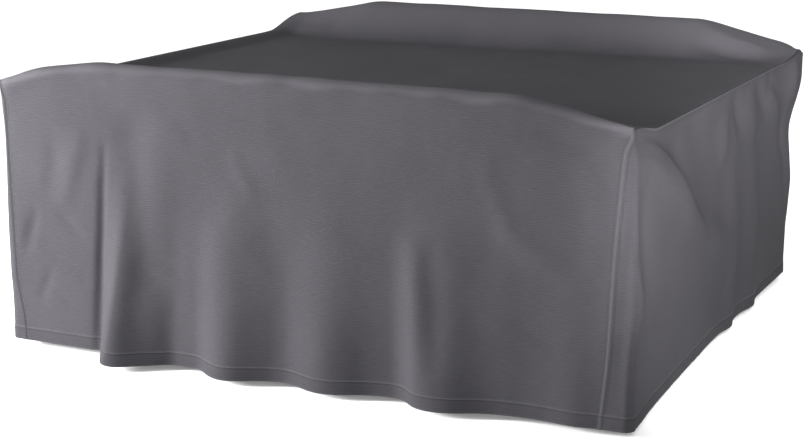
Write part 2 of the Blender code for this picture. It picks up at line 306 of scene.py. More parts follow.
# How far each end wall stands in from the full width.
END_INSETS = {
    "right": (
        Inset(height=0.000, inset=0.006),
        Inset(height=0.160, inset=0.008),
        Inset(height=0.330, inset=-0.003),
        Inset(height=0.500, inset=0.013),
        Inset(height=0.780, inset=0.023),
    ),
    "left": (
        Inset(height=0.000, inset=0.003),
        Inset(height=0.300, inset=0.001),
        Inset(height=0.620, inset=0.016),
        Inset(height=0.690, inset=0.013),
        Inset(height=0.740, inset=0.004),
        Inset(height=0.790, inset=0.008),
    ),
}

# How far each corner seam stands in from the full width.
SEAM_INSETS = {
    ("right", "front"): (
        Inset(height=0.000, inset=0.093),
        Inset(height=0.180, inset=0.075),
        Inset(height=0.470, inset=0.064),
        Inset(height=0.700, inset=0.047),
        Inset(height=0.790, inset=0.035),
    ),
    ("left", "front"): (
        Inset(height=0.000, inset=0.060),
        Inset(height=0.070, inset=0.057),
        Inset(height=0.190, inset=0.034),
        Inset(height=0.790, inset=0.024),
    ),
    ("right", "back"): (
        Inset(height=0.000, inset=0.070),
        Inset(height=0.400, inset=0.056),
        Inset(height=0.600, inset=0.038),
        Inset(height=0.790, inset=0.018),
    ),
    ("left", "back"): (
        Inset(height=0.000, inset=0.074),
        Inset(height=0.400, inset=0.050),
        Inset(height=0.600, inset=0.030),
        Inset(height=0.800, inset=0.006),
    ),
}

# The soft drag ridge that runs from the right-hand front corner down and back.
CORNER_RIDGE = (
    Ridge(height=0.060, at=0.250, reach=0.000, half_width=0.230),
    Ridge(height=0.284, at=-0.020, reach=0.014, half_width=0.210),
    Ridge(height=0.443, at=-0.270, reach=0.020, half_width=0.180),
    Ridge(height=0.539, at=-0.390, reach=0.020, half_width=0.150),
    Ridge(height=0.669, at=-0.560, reach=0.012, half_width=0.110),
    Ridge(height=0.750, at=-0.830, reach=0.004, half_width=0.060),
)

# How much the end seams lift the edge of the top, at the front and at the back.
EDGE_LIFT = {"right": (0.014, -0.001), "left": (0.018, 0.016)}

SIDE_SIGN = {"right": 1, "left": -1}
FACE_SIGN = {"front": -1, "back": 1}

# Distances of the first rows and columns from a seam, and of the first rows from the hem's edge.
SEAM_STEPS = (0.0, 0.0012, 0.0028, 0.0050, 0.0085, 0.0140)
HEM_STEPS = (
    0.0, 0.0012, 0.0060, 0.0140, 0.0230, 0.0310, 0.0355, 0.0380,
    0.0395, 0.0405, 0.0420, 0.0450, 0.0500, 0.0580,
)
WALL_LENGTH = 0.800
WALL_STEP = 0.0135
FLAT_SHARES = (0.04, 0.10, 0.19, 0.34, 0.60)
ARC_COLUMNS = 7
TOP_ROWS = 84
TOP_ROWS_CROWDING = 0.35
COLUMNS = 184
COLUMN_SAMPLES = 400
STEEP_PACKING = 1.6
STEEP_PACKING_AT = 0.19
STEEP_PACKING_WIDTH = 0.040


def ramp(value, low, high):
    """0 below low, 1 above high, with a soft start and end."""
    part = np.clip((value - low) / (high - low), 0.0, 1.0)
    return part * part * (3 - 2 * part)


def blend(start, end, part):
    return start + (end - start) * part


def read(table, at):
    """The value in a table's second column at a place in its first, with the turns eased."""
    places, values = np.array(table).T
    steps = (-EASE, -EASE / 2, 0.0, EASE / 2, EASE)
    return sum(np.interp(at + step, places, values) for step in steps) / len(steps)


def outward(folds, at, height):
    """How far the flutes of a wall stand out of it."""
    total = 0.0
    for fold in folds:
        risen = height / fold.rises_to
        centre = blend(fold.hem_at, fold.top_at, risen)
        flank = np.where(at < centre, fold.before, fold.after)
        away = np.clip(np.abs(at - centre) / flank, 0.0, 1.0)
        fade = np.clip(1 - risen, 0.0, 1.0) ** FOLD_FADE
        total = total + fold.reach * fade * 0.5 * (1 + np.cos(np.pi * away))
    return total


def ridge_out(at, height):
    """How far the drag ridge lifts the right-hand end wall."""
    heights, places, reaches, widths = np.array(CORNER_RIDGE).T
    away = np.abs(at - np.interp(height, heights, places)) / np.interp(height, heights, widths)
    return np.interp(height, heights, reaches) * 0.5 * (1 + np.cos(np.pi * np.clip(away, 0.0, 1.0)))


def pushed_out(height):
    """How much of the push on the back wall reaches this height."""
    return ramp(height, BACK_LEAN_FROM, BACK_LEAN_TO)


def wall_y(face, x, height):
    """Y of the front or the back wall."""
    lean = BACK_LEAN * pushed_out(height) if face == "back" else 0.0
    return FACE_SIGN[face] * (DEPTH / 2 + lean + outward(FOLDS[face], x, height))


def end_x(side, y, height):
    """X of an end wall."""
    low = np.maximum(1 - height / FLAT_HEIGHT, 0.0)
    waist = WAIST * low * np.maximum(1 - (2 * y / DEPTH) ** 2, 0.0)
    shoulder = SHOULDER_REACH * pushed_out(height) * ramp(y, DEPTH / 2 - SHOULDER_RUN, DEPTH / 2)
    out = outward(FOLDS[side], y, height) + shoulder
    if side == "right":
        out = out + ridge_out(y, height)
    return SIDE_SIGN[side] * (WIDTH / 2 - read(END_INSETS[side], height) - waist + out)


def roll_radius(x):
    """Radius of the crests' roll, tighter towards the seams."""
    full = ramp(WIDTH / 2 - np.abs(x), ROLL_FULL_FROM, ROLL_FULL_TO)
    return blend(CREST_ROLL_AT_SEAM, CREST_ROLL, full)


def crest_y(face, x):
    """Y of the line along the top of a crest."""
    return wall_y(face, x, read(CRESTS[face], x)) - FACE_SIGN[face] * roll_radius(x)


def top_height(x, y):
    """Height of the cloth between the crests."""
    front = crest_y("front", x)
    back = crest_y("back", x)
    part = (y - front) / (back - front)
    lift = np.where(x > 0, blend(*EDGE_LIFT["right"], part), blend(*EDGE_LIFT["left"], part))
    flat = FLAT_HEIGHT + SHEET
    flat = flat + lift * ramp(np.abs(x), WIDTH / 2 - SEAM_LIFT_RUN, WIDTH / 2 - SEAM_EDGE)
    front_rise = (read(CRESTS["front"], x) - flat) * (1 - ramp(y - front, 0.0, FRONT_SLOPE_RUN))
    back_rise = (read(CRESTS["back"], x) - flat) * (1 - ramp(back - y, 0.0, BACK_SLOPE_RUN))
    return flat + front_rise + back_rise


def wall_rows():
    """How far up its wall each row of the cloth lies: close together at the hem and the seam."""
    top = WALL_LENGTH - np.array(SEAM_STEPS[::-1])
    steps = round((top[0] - HEM_STEPS[-1]) / WALL_STEP)
    middle = np.linspace(HEM_STEPS[-1], top[0], steps + 1)[1:-1]
    return np.concatenate((HEM_STEPS, middle, top))


def top_shares():
    """Fractions of the way from the front crest to the back one, closer near the crests."""
    even = np.linspace(0.0, 1.0, TOP_ROWS + 2)[1:-1]
    return even - TOP_ROWS_CROWDING * np.sin(2 * np.pi * even) / (2 * np.pi)


def column_shares():
    """Fractions of the way from the left seam to the right one, close at seams and steep crease."""
    edge = np.array(SEAM_STEPS) / WIDTH
    even = np.linspace(0.0, 1.0, COLUMN_SAMPLES)
    close = STEEP_PACKING * np.exp(-(((even - STEEP_PACKING_AT) / STEEP_PACKING_WIDTH) ** 2))
    filled = np.cumsum(1 + close)
    filled = (filled - filled[0]) / (filled[-1] - filled[0])
    inner = np.interp(np.linspace(0.0, 1.0, COLUMNS - 2 * len(edge)), filled, even)
    inner = edge[-1] + (1 - 2 * edge[-1]) * inner
    return np.concatenate((edge[:-1], inner, 1 - edge[-2::-1]))


UP = wall_rows()
TOP_SHARES = top_shares()
SHARES = column_shares()


def row_height(up, top):
    """Height of a row on a wall that isn't just the usual length: the hem stays even."""
    return up + (top - WALL_LENGTH) * (up / WALL_LENGTH) ** 2


def corner_columns(side, face):
    """An end panel's columns from its seam round one corner."""
    sign = SIDE_SIGN[side]
    top = read(CRESTS[face], sign * (WIDTH / 2 - SEAM_INSETS[side, face][-1].inset))
    height = row_height(UP, top)
    seam = sign * (WIDTH / 2 - read(SEAM_INSETS[side, face], height))
    wall = wall_y(face, seam, height)
    end = end_x(side, wall, height)
    seam = blend(seam, end - sign * APEX_WIDTH, ramp(UP, WALL_LENGTH - APEX_RUN, WALL_LENGTH))
    radius = np.minimum(CORNER_RADIUS, CORNER_SHARE * (np.abs(end) - np.abs(seam)))
    centre_x = end - sign * radius
    centre_y = wall - FACE_SIGN[face] * radius
    columns = [(seam, wall, height)]
    for share in FLAT_SHARES:
        columns.append((blend(seam, centre_x, share), wall, height))
    for turn in np.linspace(0.0, math.pi / 2, ARC_COLUMNS):
        x = centre_x + sign * radius * math.sin(turn)
        y = centre_y + FACE_SIGN[face] * radius * math.cos(turn)
        columns.append((x, y, height))
    return np.array([np.stack(column, -1) for column in columns])


def end_grid(side):
    """An end panel's points, row by row from the hem, each from the front seam to the back one."""
    front = corner_columns(side, "front")
    back = corner_columns(side, "back")
    columns = []
    for share in TOP_SHARES:
        top = blend(front[-1, -1], back[-1, -1], share)
        height = row_height(UP, top_height(top[0], top[1]))
        y = blend(front[-1, :, 1], back[-1, :, 1], share)
        columns.append(np.stack((end_x(side, y, height), y, height), -1))
    return np.concatenate((front, columns, back[::-1])).transpose(1, 0, 2)


def wall_form(face, up):
    """The rows of the main length on the front or the back wall."""

    def point_at(x):
        height = row_height(up[:, None], read(CRESTS[face], x) - roll_radius(x))
        return np.stack((x, wall_y(face, x, height), height), -1)

    return point_at


def roll_form(face, turns):
    """The rows of the main length round a crest's roll, from the wall to its top."""

    def point_at(x):
        radius = roll_radius(x)
        crest = read(CRESTS[face], x)
        y = wall_y(face, x, crest) - FACE_SIGN[face] * radius * (1 - np.cos(turns[:, None]))
        return np.stack((x, y, crest - radius * (1 - np.sin(turns[:, None]))), -1)

    return point_at


def top_form(x):
    """The rows of the main length between the crests."""
    y = blend(crest_y("front", x), crest_y("back", x), TOP_SHARES[:, None])
    return np.stack((x, y, top_height(x, y)), -1)


def rows_between(point_at, left, right):
    """Rows across the main length: their own form in the middle, meeting the end panels' rims."""
    x = blend(left[:, :1], right[:, :1], SHARES)
    points = point_at(x)
    for rim in (left, right):
        near = np.clip(1 - np.abs(x - rim[:, :1]) / SEAM_SETTLE_RUN, 0.0, 1.0) ** 2
        points = points + (rim[:, None] - point_at(rim[:, :1])) * near[..., None]
    return points


def seam_path(grid):
    """The sewn rim of an end panel: up its front edge, along its top and down its back edge."""
    return np.concatenate((grid[:, 0], grid[-1, 1:-1], grid[::-1, -1]))


ends = {side: end_grid(side) for side in ("right", "left")}
left_rim = seam_path(ends["left"])
right_rim = seam_path(ends["right"])
roll_rows = len(FLAT_SHARES) + ARC_COLUMNS
turns = np.arange(1, roll_rows + 1) / roll_rows * math.pi / 2
stretches = (
    (wall_form("front", UP), len(UP)),
    (roll_form("front", turns), roll_rows),
    (top_form, len(TOP_SHARES)),
    (roll_form("back", turns[::-1]), roll_rows),
    (wall_form("back", UP[::-1]), len(UP)),
)
stretch_rows = []
first = 0
for form, count in stretches:
    rows = slice(first, first + count)
    stretch_rows.append(rows_between(form, left_rim[rows], right_rim[rows]))
    first += count
length = np.concatenate(stretch_rows)

# The top of the right-hand back corner has slumped, and the front's hem hangs a little lower to the
# right of its steep crease.
far_apex = ends["right"][-1, -1].copy()
for grid in (ends["left"], ends["right"], length):
    away = np.linalg.norm(grid - far_apex, axis=-1)
    grid[..., 2] -= APEX_SLUMP * np.exp(-((away / APEX_SLUMP_REACH) ** 2))
    across = ramp(grid[..., 0], *HEM_DIP_ACROSS)
    along = 1 - ramp(grid[..., 1], *HEM_DIP_ALONG)
    grid[..., 2] -= HEM_DIP * across * along * (1 - ramp(grid[..., 2], 0.0, HEM_DIP_RISE))


# The seams: each end panel's rim is sewn to one edge of the main length, with the cut edges turned
# in, which makes a low ridge. The two sheets meet there with a hair's gap.

SEAM_GAP = 0.0003
SEAM_TRIM_RUN = 0.015
SEAM_NARROWEST = math.radians(42.0)
SEAM_EVENING = 5
SEAM_LOOK = 4
SEAM_RIDGE = 0.0022
SEAM_RIDGE_WIDTH = 0.0040
SEAM_RAISED = {"right": 1.0, "left": 0.1}
TOP_SEAM_RAISED = 0.1
SEAM_FLATTENS_RUN = 0.030
SEAM_TURN_RUN = 0.012
SMOOTHINGS = 4
AT_RIM = 1e-5
NO_LENGTH = 1e-9


def unit(vectors):
    return vectors / np.linalg.norm(vectors, axis=-1, keepdims=True)


def outward_directions(grid, flip=False):
    """The direction straight out of the cloth at each of its points."""
    out = np.cross(np.gradient(grid, axis=1), np.gradient(grid, axis=0)) * (-1 if flip else 1)
    for _ in range(SMOOTHINGS):
        framed = np.pad(out, ((1, 1), (1, 1), (0, 0)), mode="edge")
        in_column = framed[:-2, 1:-1] + framed[2:, 1:-1]
        out = out + (in_column + framed[1:-1, :-2] + framed[1:-1, 2:]) / 4
    return unit(out)


def lengths_along(grid, axis):
    """How far each point is from its row's or column's first point, measured on the cloth."""
    steps = np.linalg.norm(np.diff(grid, axis=axis), axis=-1)
    before = [(0, 0), (0, 0)]
    before[axis] = (1, 0)
    return np.cumsum(np.pad(steps, before), axis=axis)


def across_seam(vectors, tangents):
    """Directions less their share along the seam."""
    along = tangents * np.sum(vectors * tangents, axis=-1, keepdims=True)
    return unit(vectors - along + NO_LENGTH)


def evened(values):
    """Values along a rim, each the mean of its neighbours' and its own."""
    window = np.ones(SEAM_EVENING) / SEAM_EVENING
    padded = np.pad(values, ((SEAM_EVENING // 2,) * 2, (0, 0)), mode="edge")
    return np.stack([np.convolve(padded[:, k], window, mode="valid") for k in range(3)], -1)


def trims(rim, end_inner, main_inner, layers):
    """How far and which way each of the two sheets is cut back along a seam."""
    steps = unit(np.diff(rim, axis=0))
    tangents = unit(np.concatenate((steps[:1], steps)) + np.concatenate((steps, steps[-1:])))
    of_end = across_seam(end_inner - rim, tangents)
    of_main = across_seam(main_inner - rim, tangents)
    half = 0.5 * np.arccos(np.clip(np.sum(of_end * of_main, axis=-1), -1.0, 1.0))
    half = np.maximum(half, SEAM_NARROWEST)
    back = (0.5 * SEAM_GAP / np.sin(half) + SHEET * layers / np.tan(half))[:, None]
    return evened(of_end * back), evened(of_main * back)


def seam_distances(grid):
    """Distances of an end panel's points from its front, top and back rims."""
    along = lengths_along(grid, 0)
    across = lengths_along(grid, 1)
    return across, along[-1:] - along, across[:, -1:] - across


def rim_fields(rim_values, rows):
    """Values along an end panel's rim, as fields over its rows, its columns and its rows again."""
    top = rim_values[rows - 1 : len(rim_values) - rows + 1]
    return rim_values[:rows, None], top[None, :], rim_values[::-1][:rows, None]


def near_rims(distances, fields):
    """At each point the value of the rims, that of the nearest counting most."""
    weights = [1 / (distance + AT_RIM) for distance in distances]
    total = sum(weight[..., None] * field for weight, field in zip(weights, fields))
    return total / sum(weights)[..., None]


outs = {side: outward_directions(ends[side], flip=side == "left") for side in ends}
length_out = outward_directions(length)
layers = np.where(UP < HEM_DEPTH, HEM_LAYERS, 1)
layers = np.concatenate((layers, np.ones(ends["right"].shape[1] - 2), layers[::-1]))
main_edges = {"right": (-1, -1 - SEAM_LOOK), "left": (0, SEAM_LOOK)}
seam_outs = {}
from_sides = {}
for side, grid in ends.items():
    edge, inner = main_edges[side]
    rim = seam_path(grid)
    below_top = grid[-1 - SEAM_LOOK, 1:-1]
    within = np.concatenate((grid[:, SEAM_LOOK], below_top, grid[::-1, -1 - SEAM_LOOK]))
    seam_outs[side] = unit(seam_path(outs[side]) + length_out[:, edge])
    end_trim, main_trim = trims(rim, within, length[:, inner], layers)
    rows = len(grid)
    fields = rim_fields(end_trim, rows)
    for distance, field in zip(seam_distances(grid), fields):
        grid += field * np.exp(-distance / SEAM_TRIM_RUN)[..., None]
    across = lengths_along(length, 1)
    from_sides[side] = across if side == "left" else across[:, -1:] - across
    length += main_trim[:, None] * np.exp(-from_sides[side] / SEAM_TRIM_RUN)[..., None]


# What every piece of cloth gets: drag lines where it is pulled, a slight unevenness, the ridge
# along its seams, and the doubled hem with the dent of its stitching.

HEM_PROUD = 0.0012
HEM_LEDGE = (-0.001, 0.002)
HEM_DOUBLED_TO = 0.0405
STITCH_DENT = 0.0010
STITCH_DENT_WIDTH = 0.0018
STITCHED_AT = 0.0380
DENT_AT = 0.0355
DRAG_ROUNDNESS = 0.6
UNEVEN_SIZE = 0.16
UNEVEN_DEPTH = 0.0016
UNEVEN_FALL = 1.0
UNEVEN_STEP = 2.0
UNEVEN_OCTAVES = 3
SETTLE_AT_SEAM = 0.030
# The painted highlight on the seam ridges and the hem's edges, and the painted shade in the hem, in
# the stitch dents and by the seams.
SEAM_HIGHLIGHT = 0.6
HEM_HIGHLIGHT = 0.6
HEM_HIGHLIGHT_WIDTH = 0.0018
HEM_SHADED = 0.10
HEM_SHADED_EDGE = 0.0005
STITCH_SHADED = 0.35
SEAM_SHADED = 0.35
SEAM_SHADED_AT = 2.0
SEAM_SHADED_WIDTH = 0.6
SEAM_PRESSED_SHADED = 0.6

Drag = namedtuple("Drag", "path width depth")


def drag_out(drags, across, along):
    """How far a set of drag lines lifts the cloth, or sinks it where the depth is negative."""
    total = np.zeros(np.broadcast(across, along).shape)
    for drag in drags:
        path = np.array(drag.path, float)
        nearest = np.full(total.shape, np.inf)
        share = np.zeros(total.shape)
        steps = np.diff(path, axis=0)
        runs = np.linalg.norm(steps, axis=1)
        done = 0.0
        for start, step, run in zip(path, steps, runs):
            to_across = across - start[0]
            to_along = along - start[1]
            part = np.clip((to_across * step[0] + to_along * step[1]) / run**2, 0.0, 1.0)
            gap = np.hypot(to_across - part * step[0], to_along - part * step[1])
            closer = gap < nearest
            nearest = np.where(closer, gap, nearest)
            share = np.where(closer, (done + part * run) / runs.sum(), share)
            done += run
        body = np.sin(np.pi * np.clip(share, 0.0, 1.0)) ** DRAG_ROUNDNESS
        total += drag.depth * body * np.exp(-((nearest / drag.width) ** 2))
    return total


def uneven(grid):
    """A slight unevenness, as in any cloth that has been folded away."""
    scales = (UNEVEN_FALL, UNEVEN_STEP, UNEVEN_OCTAVES)
    values = [noise.fractal(point / UNEVEN_SIZE, *scales) for point in grid.reshape(-1, 3)]
    return np.reshape(values, grid.shape[:-1]) * UNEVEN_DEPTH


def hem_relief(from_edge):
    """How far the doubled hem stands proud, less the dent of its stitching."""
    proud = HEM_PROUD * (1 - ramp(from_edge, HEM_DEPTH + HEM_LEDGE[0], HEM_DEPTH + HEM_LEDGE[1]))
    dent = STITCH_DENT * np.exp(-(((from_edge - DENT_AT) / STITCH_DENT_WIDTH) ** 2))
    return proud - dent


def painted_edge_highlight(from_seam, raised, from_hem):
    """Painted highlight: the cloth is paler on its seams' ridges and on the edge of its hem."""
    on_seam = SEAM_HIGHLIGHT * raised * np.exp(-((from_seam / SEAM_RIDGE_WIDTH) ** 2))
    from_edge = np.minimum(from_hem, np.abs(from_hem - HEM_DEPTH))
    on_hem = HEM_HIGHLIGHT * np.exp(-((from_edge / HEM_HIGHLIGHT_WIDTH) ** 2))
    return np.maximum(on_seam, on_hem)


def shaded_edges(from_seam, raised, from_hem):
    """Painted shade: the cloth is darker in its hem, in the dents of its stitching and by its seams.
    """
    hem_top = (HEM_DEPTH - HEM_SHADED_EDGE, HEM_DEPTH + HEM_SHADED_EDGE)
    doubled = HEM_SHADED * (1 - ramp(from_hem, *hem_top))
    in_dent = STITCH_SHADED * np.exp(-(((from_hem - DENT_AT) / STITCH_DENT_WIDTH) ** 2))
    beside = from_seam - SEAM_SHADED_AT * SEAM_RIDGE_WIDTH
    beside = beside / (SEAM_SHADED_WIDTH * SEAM_RIDGE_WIDTH)
    by_seam = SEAM_SHADED * raised * np.exp(-(beside**2))
    pressed = SEAM_PRESSED_SHADED * (1 - raised) * np.exp(-((from_seam / SEAM_RIDGE_WIDTH) ** 2))
    return np.maximum.reduce((doubled, in_dent, by_seam, pressed))


def seam_raised(side, from_hem):
    """How much of its ridge a seam has: the top seams and the left-hand ones are almost flat."""
    at_top = ramp(from_hem, WALL_LENGTH - SEAM_FLATTENS_RUN, WALL_LENGTH)
    return blend(SEAM_RAISED[side], TOP_SEAM_RAISED, at_top)


def laid(grid, out, seam_out, lift, from_seam, raised, from_hem):
    """The points of a piece with all its relief."""
    turned = np.exp(-((from_seam / SEAM_TURN_RUN) ** 2))[..., None]
    direction = unit(out * (1 - turned) + seam_out * turned)
    ridge = SEAM_RIDGE * raised * np.exp(-((from_seam / SEAM_RIDGE_WIDTH) ** 2))
    lift = lift * ramp(from_seam, 0.0, SETTLE_AT_SEAM) + ridge + hem_relief(from_hem)
    return grid + direction * lift[..., None]


def sew(name, grid, painted_highlight, shaded, hem_rows, material, flip=False):
    """One piece of cloth: a mesh grid laid on its points, with its thickness inward."""
    if flip:
        grid = grid[:, ::-1]
        painted_highlight = painted_highlight[:, ::-1]
        shaded = shaded[:, ::-1]
    rows, columns = grid.shape[:2]
    mesh = bpy.data.meshes.new(name)
    sheet = bmesh.new()
    bmesh.ops.create_grid(sheet, x_segments=columns - 1, y_segments=rows - 1, size=1.0)
    flat = np.array([vertex.co[:2] for vertex in sheet.verts])
    column, row = np.rint((flat + 1) / 2 * (columns - 1, rows - 1)).astype(int).T
    sheet.to_mesh(mesh)
    sheet.free()
    placed = grid[row, column] - (0.0, 0.0, FLAT_HEIGHT)
    mesh.vertices.foreach_set("co", placed.astype(np.float32).ravel())
    across = lengths_along(grid, 1)
    across = across - across[:, columns // 2, None]
    on_roll = np.stack((across, lengths_along(grid, 0), np.zeros_like(across)), -1)[row, column]
    values = mesh.attributes.new("cloth", "FLOAT_VECTOR", "POINT")
    values.data.foreach_set("vector", on_roll.astype(np.float32).ravel())
    for kept, amounts in (("painted_highlight", painted_highlight), ("shaded", shaded)):
        values = mesh.attributes.new(kept, "FLOAT", "POINT")
        values.data.foreach_set("value", amounts[row, column].astype(np.float32))
    mesh.shade_smooth()
    mesh.materials.append(material)
    piece = bpy.data.objects.new(name, mesh)
    bpy.context.scene.collection.objects.link(piece)
    doubled = np.flatnonzero(np.isin(row, hem_rows)).tolist()
    piece.vertex_groups.new(name="hem").add(doubled, 1.0, "REPLACE")
    solid = piece.modifiers.new("thickness", "SOLIDIFY")
    solid.thickness = HEM_LAYERS * SHEET
    solid.vertex_group = "hem"
    solid.thickness_vertex_group = 1 / HEM_LAYERS
    solid.offset = -1.0
    return piece


# The thread: grey, a little lighter than the cloth, in even lock stitches along the hem and on the
# main length's side of each seam.

STITCH_LENGTH = 0.0036
STITCH_WIDTH = 0.0010
STITCH_PITCH = 0.0050
STITCH_PROUD = 0.2
STITCH_SIDES = 6
STITCH_RINGS = 3
SEAM_STITCHED_AT = 0.0085
THREAD_COLOUR = (0.064, 0.0615, 0.067, 1.0)
THREAD_ROUGHNESS = 0.6
TWIST_PITCH = 0.0007
TWIST_DEPTH = 0.0002
TWIST_STRENGTH = 0.5


def thread_material():
    material = bpy.data.materials.new("thread")
    material.use_nodes = True
    tree = material.node_tree
    shader = tree.nodes["Principled BSDF"]
    shader.inputs["Base Color"].default_value = THREAD_COLOUR
    shader.inputs["Roughness"].default_value = THREAD_ROUGHNESS
    place = tree.nodes.new("ShaderNodeTexCoord")
    twist = tree.nodes.new("ShaderNodeTexWave")
    twist.bands_direction = "DIAGONAL"
    twist.inputs["Scale"].default_value = band_scale(TWIST_PITCH)
    link(tree, place.outputs["Object"], twist.inputs["Vector"])
    relief = bump(tree, twist.outputs["Fac"], TWIST_DEPTH, TWIST_STRENGTH)
    link(tree, relief, shader.inputs["Normal"])
    return material


thread = thread_material()


def stitch_form():
    """The corners and faces of one stitch, of unit size."""
    ball = bmesh.new()
    bmesh.ops.create_uvsphere(ball, u_segments=STITCH_SIDES, v_segments=STITCH_RINGS, radius=1.0)
    corners = np.array([vertex.co for vertex in ball.verts])
    faces = [[vertex.index for vertex in face.verts] for face in ball.faces]
    ball.free()
    return corners, faces


def stitching(name, lines):
    """Stitches along lines of points on the cloth, each with the directions out of it."""
    corners, faces = stitch_form()
    stitches = []
    for points, outs_of_line in lines:
        run = np.concatenate(((0.0,), np.cumsum(np.linalg.norm(np.diff(points, axis=0), axis=1))))
        places = np.arange(STITCH_PITCH, run[-1] - STITCH_PITCH / 2, STITCH_PITCH)
        centres = np.stack([np.interp(places, run, points[:, k]) for k in range(3)], -1)
        ups = unit(np.stack([np.interp(places, run, outs_of_line[:, k]) for k in range(3)], -1))
        sides = unit(np.cross(np.gradient(centres, axis=0), ups))
        aheads = np.cross(ups, sides)
        axes = np.stack((aheads * STITCH_LENGTH, sides * STITCH_WIDTH, ups * STITCH_WIDTH), 1) / 2
        middles = centres + ups * STITCH_WIDTH * STITCH_PROUD - (0.0, 0.0, FLAT_HEIGHT)
        stitches.append(middles[:, None] + corners @ axes)
    stitches = np.concatenate(stitches)
    count = len(corners)
    firsts = range(0, count * len(stitches), count)
    all_faces = [[first + corner for corner in face] for first in firsts for face in faces]
    mesh = bpy.data.meshes.new(name)
    mesh.from_pydata(stitches.reshape(-1, 3), [], all_faces)
    mesh.shade_smooth()
    mesh.materials.append(thread)
    piece = bpy.data.objects.new(name, mesh)
    bpy.context.scene.collection.objects.link(piece)
    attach(piece, "root")
    return piece


# The end panels: one piece of cloth each, sewn to the main length on three sides. The right-hand
# one is pulled from its front corner, and hangs in soft upright folds further back.

# Across is from front to back, and along is height.
END_DRAGS = {
    "right": (
        # Two small ridges and a trough beside the front corner.
        Drag(((-0.905, 0.700), (-0.890, 0.560), (-0.870, 0.460)), 0.030, 0.006),
        Drag(((-0.885, 0.430), (-0.872, 0.330), (-0.880, 0.230)), 0.022, 0.008),
        Drag(((-0.820, 0.620), (-0.800, 0.450), (-0.790, 0.300), (-0.800, 0.150)), 0.045, -0.012),
        # The fold that curves down and back from the corner, with the troughs above it.
        Drag(
            path=(
                (-0.900, 0.730), (-0.770, 0.690), (-0.610, 0.620),
                (-0.480, 0.530), (-0.370, 0.440), (-0.210, 0.350),
            ),
            width=0.060,
            depth=0.020,
        ),
        Drag(
            path=(
                (-0.950, 0.800), (-0.760, 0.745), (-0.620, 0.700), (-0.470, 0.645),
                (-0.360, 0.550), (-0.250, 0.450), (-0.090, 0.360),
            ),
            width=0.045,
            depth=-0.020,
        ),
        Drag(
            path=((-0.640, 0.760), (-0.340, 0.680), (-0.230, 0.560), (-0.120, 0.460), (0.060, 0.370)),
            width=0.120,
            depth=-0.018,
        ),
        # Soft bands further back, the last two by the back corner.
        Drag(((-0.030, 0.700), (0.000, 0.620), (0.030, 0.540)), 0.050, 0.010),
        Drag(((0.100, 0.740), (0.160, 0.670), (0.230, 0.580)), 0.034, -0.012),
        Drag(((0.270, 0.720), (0.330, 0.640), (0.390, 0.560)), 0.050, 0.009),
        Drag(((0.400, 0.730), (0.480, 0.660), (0.550, 0.590)), 0.034, -0.009),
        Drag(((0.580, 0.700), (0.650, 0.620), (0.680, 0.540)), 0.055, 0.011),
        Drag(((0.540, 0.730), (0.600, 0.700), (0.700, 0.650)), 0.022, -0.007),
        Drag(((0.860, 0.780), (0.870, 0.700), (0.860, 0.600)), 0.050, 0.012),
        Drag(((0.780, 0.600), (0.750, 0.500), (0.810, 0.400), (0.760, 0.300)), 0.030, -0.007),
    ),
    "left": (
        Drag(((-0.880, 0.740), (-0.700, 0.600), (-0.600, 0.400)), 0.060, 0.009),
        Drag(((0.840, 0.740), (0.700, 0.560), (0.640, 0.350)), 0.060, 0.009),
        Drag(((0.100, 0.720), (0.060, 0.560), (0.080, 0.420)), 0.040, -0.006),
    ),
}

# On the strip that wraps round the right-hand front corner, across is X and along is height.
STRIP_DRAGS = (
    Drag(((0.935, 0.020), (0.948, 0.250), (0.958, 0.500), (0.968, 0.700)), 0.016, -0.006),
)

strip = 1 + len(FLAT_SHARES) + ARC_COLUMNS // 2
hem_rows = HEM_STEPS.index(HEM_DOUBLED_TO)
stitched_row = HEM_STEPS.index(STITCHED_AT)
for side, grid in ends.items():
    distances = seam_distances(grid)
    from_seam = np.minimum.reduce(distances)
    seam_out = near_rims(distances, rim_fields(seam_outs[side], len(grid)))
    lift = drag_out(END_DRAGS[side], grid[..., 1], grid[..., 2]) + uneven(grid)
    if side == "right":
        lift[:, :strip] += drag_out(STRIP_DRAGS, grid[:, :strip, 0], grid[:, :strip, 2])
    from_hem = lengths_along(grid, 0)
    raised = seam_raised(side, from_hem)
    points = laid(grid, outs[side], seam_out, lift, from_seam, raised, from_hem)
    # Painted highlight and painted shade along the seams and the hem.
    painted_highlight = painted_edge_highlight(from_seam, raised, from_hem)
    shaded = shaded_edges(from_seam, raised, from_hem)
    panel = sew("end_panel_" + side, points, painted_highlight, shaded, range(hem_rows), cloth, side == "left")
    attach(panel, "root")
    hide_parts("end_" + side)
    hem_line = (points[stitched_row], outs[side][stitched_row])
    stitches = stitching("end_stitching_" + side, [hem_line])


# The main length: one length of the cloth that runs up the front, over the top and down the back.
# It rolls over the crests, hangs in flutes below them, and is dragged a little at its corners.

CREST_BULGE = 0.0060
CREST_BULGE_BELOW = 0.020
CREST_BULGE_WIDTH = 0.030
CREST_BULGE_LANE = (0.0, 3.0)
# The painted highlight along the crests: how far down the wall and in over the top it reaches.
CREST_HIGHLIGHT_DOWN = 0.020
CREST_HIGHLIGHT_EDGE = (0.5, 1.3)
CREST_HIGHLIGHT_IN = {"front": 0.045, "back": 0.240}
CREST_HIGHLIGHT_LANE = (5.0, 0.0)
CREST_WOBBLE = 0.6
CREST_WOBBLE_SIZE = 0.11

